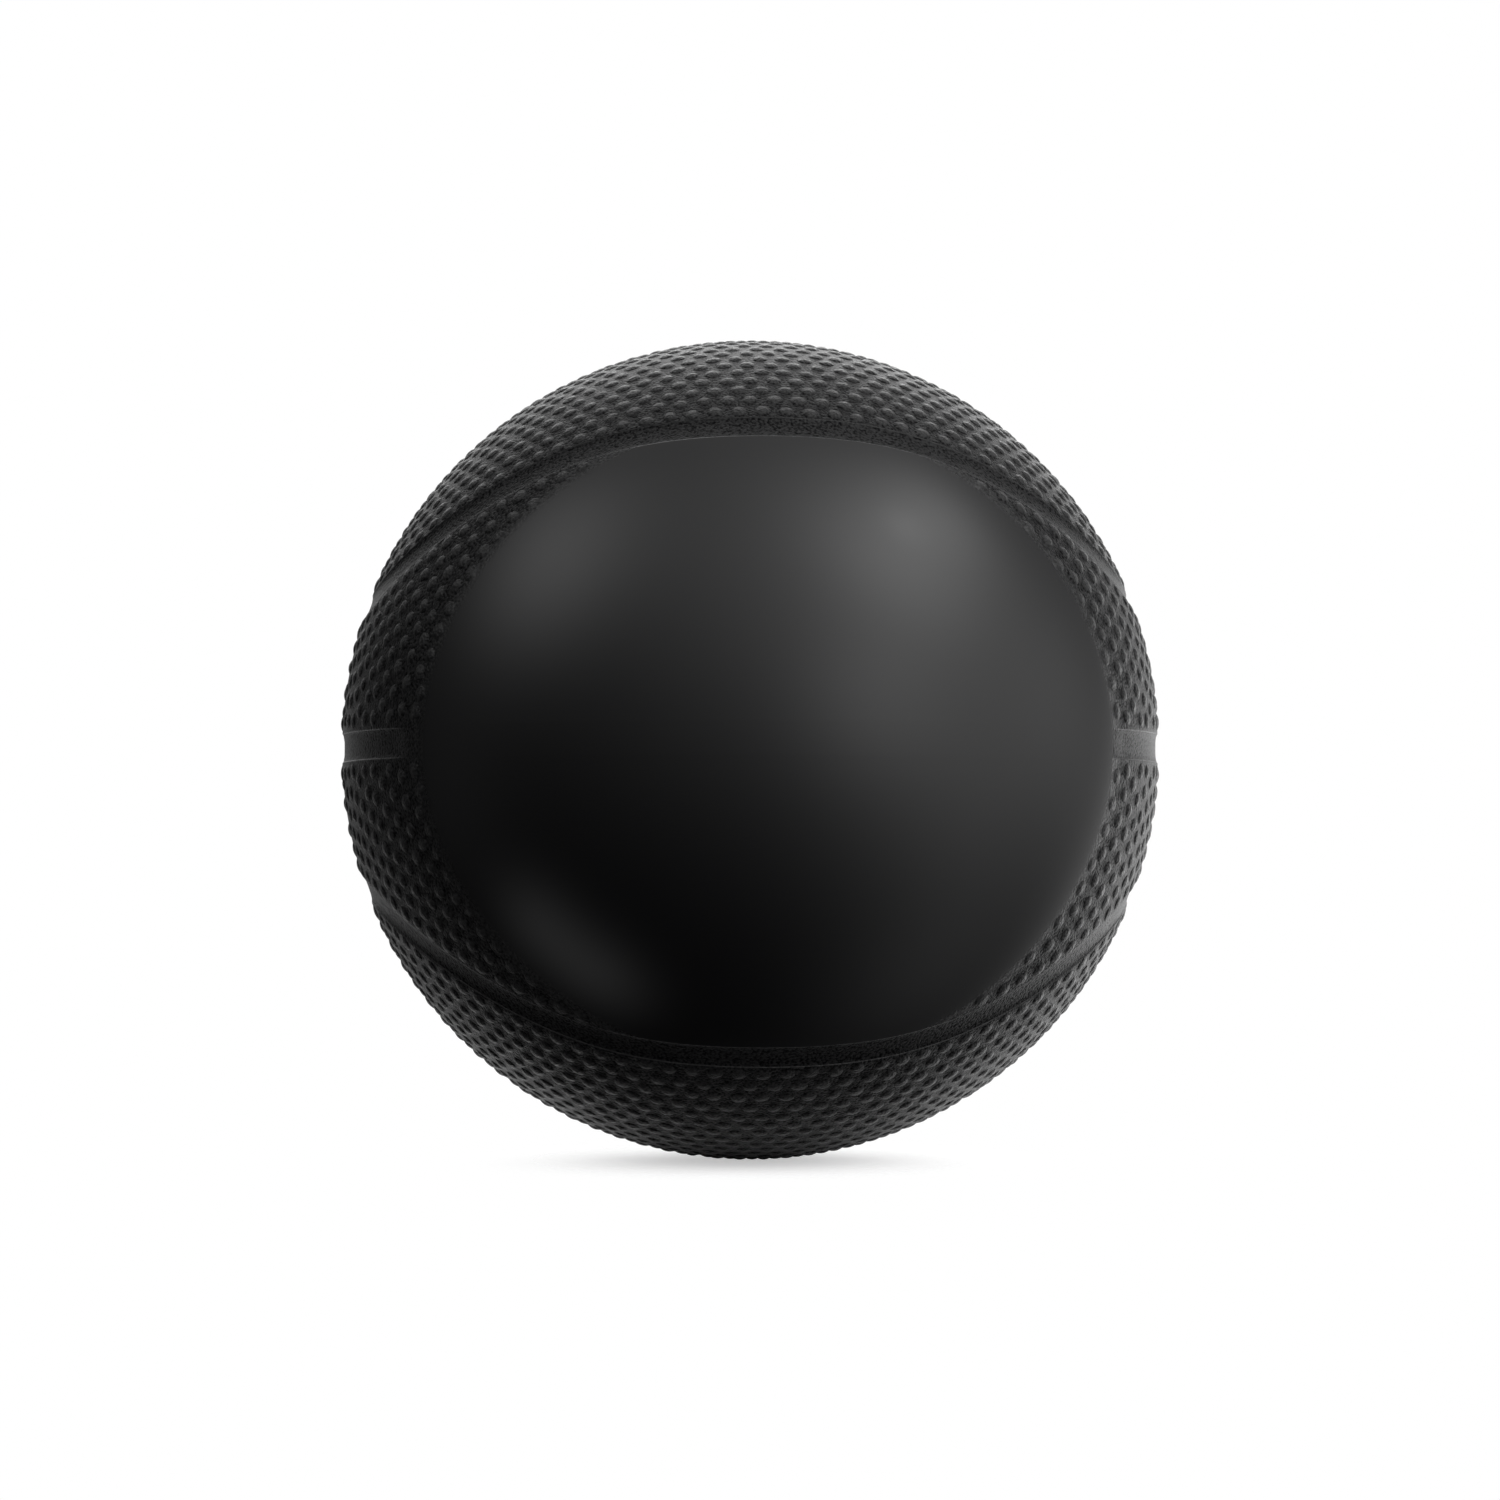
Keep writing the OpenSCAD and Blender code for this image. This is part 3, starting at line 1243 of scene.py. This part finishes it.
@dataclass
class ChannelStrips:
    """Strips of rubber that line the channels and rise softly to the panels."""

    sizes: BallSizes
    line: LoopLine
    plan: ChannelPlan
    hole_r: float = 3.82 * MM
    rise: tuple[float, ...] = (0, 0.13, 0.27, 0.4, 0.53, 0.66, 0.78, 0.9, 1)
    ring_points: int = 361
    short_points: int = 31
    loop_points: int = 181
    valve_points: tuple[int, int, int] = (15, 7, 60)

    def across(self, radius: float) -> Array:
        """Return the angles of places across a strip, from edge to edge."""
        return both_sides(np.array(self.rise)) * self.sizes.strip_half / radius

    def finished(self, node: str, directions: Array) -> Piece:
        """Lay a strip's floor in its channel and close it."""
        strip = laid_grid(f"{node}_moulded", self.plan.laid(directions))
        thicken(strip, self.sizes.inner_r)
        return strip

    def upright_ring(self) -> Piece:
        """Return the ring that parts front and back."""
        round_ball = np.linspace(0, 2 * math.pi, self.ring_points)
        tilt, turn = np.meshgrid(self.across(self.sizes.floor_r), round_ball, indexing="ij")
        places = [np.cos(tilt) * np.cos(turn), np.sin(tilt), np.cos(tilt) * np.sin(turn)]
        return self.finished("meridian_channel", np.stack(places, axis=-1))

    def short_strip(self) -> Piece:
        """Return the strip in the short channel on the right of the front."""
        start = self.sizes.imprint_angle + self.sizes.bond_gap / self.sizes.floor_r
        end = math.acos(self.sizes.channel_half / self.sizes.floor_r)
        run = np.linspace(start, end, self.short_points)
        latitude, azimuth = np.meshgrid(self.across(self.sizes.floor_r), run, indexing="ij")
        return self.finished("equator_channel_right", on_ball(azimuth, latitude))

    def loop_strip(self) -> Piece:
        """Return the front half of the strip in the upper loop's channel."""
        turn = self.across(self.sizes.crest_r)
        end = self.line.end_azimuth(turn, -self.sizes.channel_half / self.sizes.floor_r)
        azimuth = end[:, None] * np.linspace(-1, 1, self.loop_points)
        return self.finished("upper_loop_front", self.line.beside(azimuth, turn[:, None]))

    def valve_strip(self) -> Piece:
        """Return the strip at the back, with its pad round the valve; modelled at the front."""
        radius, half = self.sizes.floor_r, self.sizes.strip_half
        pad_r = self.sizes.pad_r - self.sizes.bond_gap
        corner = math.sqrt(pad_r ** 2 - half ** 2)
        hole_points, pad_points, rest_points = self.valve_points
        hole = self.hole_r * np.sin(np.linspace(0, math.pi / 2, hole_points))
        pad = np.linspace(self.hole_r, corner, pad_points)[1:]
        end = math.acos(self.sizes.channel_half / radius)
        rest = np.linspace(math.asin(corner / radius), end, rest_points)[1:]
        columns = both_sides(np.concatenate([np.arcsin(np.concatenate([hole, pad]) / radius), rest]))
        side = radius * np.sin(np.abs(columns))
        low = np.sqrt(np.clip(self.hole_r ** 2 - side ** 2, 0, None))
        high = np.where(side < corner + TINY, np.sqrt(np.clip(pad_r ** 2 - side ** 2, 0, None)), half)
        upper = np.arcsin((low + (high - low) * np.array(self.rise)[:, None]) / radius)
        strip = join([laid_grid("valve_strip", self.plan.laid(on_ball(columns, latitude), Mirror.BACK))
                      for latitude in (upper, -upper)])
        in_edit(strip, merge)
        thicken(strip, self.sizes.inner_r)
        return strip

    def build(self) -> list[Piece]:
        """Model the eight strips, each repeated shape once.

        Returns:
            The strips.
        """
        right, loop, valve = self.short_strip(), self.loop_strip(), self.valve_strip()
        back = mirrored(valve, "equator_channel_back", Mirror.BACK)
        bpy.data.objects.remove(valve)
        ring = self.upright_ring()
        copies = starmap(mirrored, (
            (right, "equator_channel_left", Mirror.LEFT), (loop, "upper_loop_back", Mirror.BACK),
            (loop, "lower_loop_front", Mirror.BASE), (loop, "lower_loop_back", Mirror.BASE_BACK)))
        return [ring, right, back, loop, *copies]

    def dress(self, strips: Sequence[Piece]) -> None:
        """Finish the strips."""
        # The cover's black with less sheen, so that the channels read as dark lines.
        channel_rubber = MouldedRubber("channel_rubber", sheen=0.2).build()
        for strip in strips:
            place_piece(strip, channel_rubber)


def stepped(radius: float, along: float, steps: Sequence[tuple[float, float]]) -> Outline:
    """Return points of a turned profile by their steps from a corner, outwards and along, in millimetres."""
    return [(radius + out * MM, along + up * MM) for out, up in steps]


@dataclass
class Valve:
    """Rubber valve at the back: a housing with a flange, and the core that a needle goes into.

    The rims and the steps of the profiles are in millimetres.
    """

    sizes: BallSizes
    housing_r: float = 3.7 * MM
    housing_len: float = 20 * MM
    housing_sink: float = 0.12 * MM
    flange_r: float = 7.5 * MM
    flange_out: float = 58.42 * MM
    flange_t: float = 1.2 * MM
    rim: float = 0.35
    groove: tuple[tuple[float, float], ...] = (
        (0.75, 0), (0.6, -0.14), (0.4, -0.14), (0.28, -0.02), (0.12, -0.04), (0, -0.2))
    core_r: float = 2.3 * MM
    core_clear: float = 0.03 * MM
    core_len: float = 18 * MM
    core_sink: float = 0.4 * MM
    needle_r: float = 1.05 * MM
    needle_depth: float = 12 * MM
    steps: int = 48
    crease: float = math.radians(40)

    def housing(self) -> Piece:
        """Return the housing, turned with a rolled rim and its flange."""
        face, foot = self.sizes.floor_r - self.housing_sink, self.sizes.floor_r - self.housing_len
        under, bore, rim = self.flange_out - self.flange_t, self.core_r + self.core_clear, self.rim
        profile = stepped(self.housing_r, foot, ((0, rim),))
        profile += stepped(self.housing_r, under, ((0, 0),))
        profile += stepped(self.flange_r, under, ((-rim, -0.4), (0, 0.1)))
        profile += stepped(self.flange_r, self.flange_out, ((0, -0.7), (-rim, -0.5)))
        profile += stepped(self.housing_r, self.flange_out, ((0, -0.1),))
        profile += stepped(self.housing_r, face, ((0, -rim), (-0.1, -0.1), (-rim, 0)))
        profile += stepped(bore, face, self.groove)
        profile += [(bore, foot), *stepped(self.housing_r, foot, ((-rim, 0),))]
        return turned("valve_body_moulded", profile, self.steps, ring=True)

    def core(self) -> Piece:
        """Return the core, turned with its needle hole."""
        top = self.sizes.floor_r - self.core_sink
        foot, end = top - self.core_len, top - self.needle_depth
        profile = [(0.0, foot), *stepped(self.core_r, foot, ((-0.6, 0), (-0.09, 0.09), (0, 0.6)))]
        profile += stepped(self.core_r, top, ((0, -0.3), (-0.09, -0.09), (-0.3, 0)))
        profile += stepped(self.needle_r, top, ((0.45, 0), (0.14, -0.12), (0, -0.4)))
        profile += [(self.needle_r, end), *stepped(0.0, end, ((0, -0.4),))]
        return turned("valve_core_moulded", profile, self.steps, ring=False)

    def build(self) -> tuple[Piece, Piece]:
        """Model the valve.

        Returns:
            The housing and the core.
        """
        made = self.housing(), self.core()
        for piece in made:
            smooth(piece, self.crease)
        return made

    def dress(self, made: tuple[Piece, Piece]) -> None:
        """Finish the housing and the core."""
        # A softer, greyer rubber than the cover, and a core that is paler still.
        valve_rubber = MouldedRubber("valve_rubber", "#141415", "#1f1f20").build()
        core_rubber = MouldedRubber("core_rubber", "#1f1f20", "#2b2b2c").build()
        place_piece(made[0], valve_rubber)
        place_piece(made[1], core_rubber, Body.CORE)


@dataclass(frozen=True)
class SoftLight:
    """One wide soft light of the studio, brightest at its middle.

    Attributes:
        toward: Direction of its middle from the ball.
        tightness: How fast it falls off: 28 is a small softbox and 5 a wide bounced light.
        strength: Brightness of its middle, where white is 1.
    """

    toward: tuple[float, float, float]
    tightness: float
    strength: float


@dataclass
class Studio:
    """Pale floor, white backdrop, soft lights and the camera."""

    sizes: BallSizes
    camera_gap: float = 0.635
    camera_azimuth: float = math.radians(-2.9)
    camera_elevation: float = math.radians(-1.64)
    lens: float = 97.9
    sensor: float = 36.0
    floor_r: float = 0.05
    floor_sides: int = 96
    floor_fade: tuple[float, float] = (0.1, 0.97)
    floor_glow: float = 0.5
    floor_roughness: float = 0.8
    backdrop_cosine: float = 0.98
    lights: tuple[SoftLight, ...] = tuple(starmap(SoftLight, (
        ((0.02, 0.90, 0.44), 16.0, 4.7), ((0.21, 0.89, 0.40), 28.0, 1.9),
        ((0.60, 0.80, -0.09), 28.0, 4.1), ((0.62, 0.66, -0.42), 28.0, 1.6),
        ((0.05, 0.87, -0.48), 28.0, 4.0), ((-0.42, 0.85, -0.31), 28.0, 0.9),
        ((-0.17, 0.54, 0.82), 50.0, 1.4), ((0.27, -0.51, 0.81), 2.5, 1.0),
        ((0.56, -0.38, 0.73), 16.0, 1.7), ((0.62, -0.04, 0.78), 45.0, 0.95),
        ((0.55, -0.22, 0.81), 400.0, 1.0), ((0.89, -0.46, 0.00), 5.0, 0.76),
        ((0.51, -0.82, 0.24), 16.0, 0.66), ((0.98, 0.04, 0.18), 16.0, 0.4),
        ((0.90, 0.37, -0.22), 20.0, 0.2), ((0.61, -0.14, -0.78), 16.0, 0.16),
        ((-0.71, -0.20, 0.67), 16.0, 0.9), ((-0.66, 0.02, 0.75), 28.0, 0.25),
        ((-0.99, 0.03, -0.13), 16.0, 0.06), ((-0.76, -0.12, -0.64), 60.0, 0.3),
        ((-0.56, -0.14, -0.82), 60.0, 0.3),
    )))

    def camera(self) -> None:
        """Put the camera at the photograph's viewing angle."""
        data = bpy.data.cameras.new("camera")
        data.lens, data.sensor_width = self.lens, self.sensor
        camera = bpy.data.objects.new("camera", data)
        bpy.context.scene.collection.objects.link(camera)
        away = Vector(on_ball(np.array(self.camera_azimuth), np.array(self.camera_elevation)))
        camera.location = away * self.camera_gap
        camera.rotation_euler = (-away).to_track_quat("-Z", "Y").to_euler()
        bpy.context.scene.camera = camera

    def floor(self) -> None:
        """Add the pale floor, which keeps the ball's soft shadow and fades into the white backdrop."""
        floor = added("floor", bpy.ops.mesh.primitive_circle_add, vertices=self.floor_sides,
                      radius=self.floor_r, fill_type="NGON", location=(0, 0, -self.sizes.crest_r))
        bpy.ops.object.transform_apply()
        material, tree, shader = new_material("pale_floor")
        shader.inputs["Base Color"].default_value = linear("#f4f4f4")
        shader.inputs["Roughness"].default_value = self.floor_roughness
        shader.inputs["Emission Color"].default_value = WHITE
        glow = maths(tree, "MULTIPLY", seen_directly(tree), self.floor_glow)
        tree.links.new(glow, shader.inputs["Emission Strength"])
        place = add_node(tree, "ShaderNodeTexCoord").outputs["Object"]
        flat = vector_maths(tree, "MULTIPLY", place, (1, 1, 0), output="Vector")
        start, end = self.floor_fade
        shown = remap(tree, vector_maths(tree, "LENGTH", flat), (self.floor_r * start, self.floor_r * end),
                      (1.0, 0.0), soft=True)
        tree.links.new(shown, shader.inputs["Alpha"])
        dress(floor, material)

    def world(self) -> None:
        """Make the backdrop white to the eye, and light the ball by the soft lights."""
        world = bpy.data.worlds.new("studio")
        bpy.context.scene.world = world
        world.use_nodes = True
        tree = world.node_tree
        background = tree.nodes["Background"]
        toward = add_node(tree, "ShaderNodeTexCoord").outputs["Generated"]
        total: Value = 0.0
        for light in self.lights:
            near = vector_maths(tree, "DOT_PRODUCT", toward, Vector(light.toward).normalized())
            fall = maths(tree, "MULTIPLY_ADD", near, light.tightness, -light.tightness)
            total = maths(tree, "MULTIPLY_ADD", maths(tree, "EXPONENT", fall), light.strength, total)
        behind = vector_maths(tree, "DOT_PRODUCT", toward, (0, 1, 0))
        drop = remap(tree, behind, (self.backdrop_cosine, 1.0), soft=True)
        glossy = add_node(tree, "ShaderNodeLightPath").outputs["Is Glossy Ray"]
        white = maths(tree, "MAXIMUM", seen_directly(tree), maths(tree, "MULTIPLY", drop, glossy))
        tree.links.new(remap(tree, white, target=(total, 1.0)), background.inputs["Strength"])
        background.inputs["Color"].default_value = WHITE

    def build(self) -> None:
        """Set up the studio."""
        bpy.context.scene.view_settings.view_transform = "Standard"
        self.camera()
        self.floor()
        self.world()


@dataclass
class InnerLayers:
    """The hidden layers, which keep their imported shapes."""

    nodes: dict[str, Piece]

    def dress(self) -> None:
        """Finish the layers."""
        # Butyl is a dark grey with a faint gloss, the carcass a flat brownish black, and the thread pale.
        bladder = MouldedRubber("butyl_bladder_rubber", "#1a1a1c", "#262628", roughness=0.45).build()
        finishes = {
            "bladder": bladder,
            "valve_patch": bladder,
            "carcass": MouldedRubber("carcass_rubber", "#1d1c1b", "#2b2a29", roughness=0.7).build(),
            "winding": WoundThread().build(),
        }
        for node, material in finishes.items():
            dress(self.nodes[node], material)
            LOG.info("%s keeps its packed shape", node)


def main() -> None:
    """Build the ball, its finishes and the studio."""
    logging.basicConfig(level=logging.INFO, format="%(message)s")
    sizes = BallSizes.from_frame(frame["record"])
    line = LoopLine()
    plan = ChannelPlan(sizes, line)
    Studio(sizes).build()
    for assembly in (Cover(sizes, line, plan), ChannelStrips(sizes, line, plan), Valve(sizes)):
        assembly.dress(assembly.build())
    InnerLayers(frame["nodes"]).dress()


if __name__ == "__main__":
    main()
